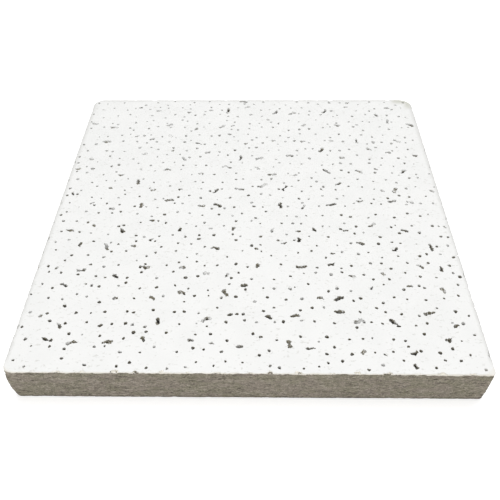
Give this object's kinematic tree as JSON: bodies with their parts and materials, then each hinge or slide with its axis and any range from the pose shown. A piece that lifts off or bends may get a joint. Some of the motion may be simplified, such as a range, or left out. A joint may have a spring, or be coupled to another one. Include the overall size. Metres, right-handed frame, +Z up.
{
  "type": "suspended ceiling tile",
  "caption": "Square of mineral fibre ceiling board lying on its back, with a white needled and fissured face, raw cut edges and a plain flat back.",
  "frame": {"origin": "middle of the plain back, which the tile lies on", "axes": "+Z up through the thickness towards the marked white face, +X to the right along the near edge, +Y away from the near edge"},
  "size_m": [0.152, 0.152, 0.015],
  "materials": {
    "painted_board": "matt white paint on the face, bare grey-brown fibre on the edges, in the marks and on the back"
  },
  "bodies": {
    "root": {"ceiling_tile": "painted_board"}
  },
  "joints": []
}
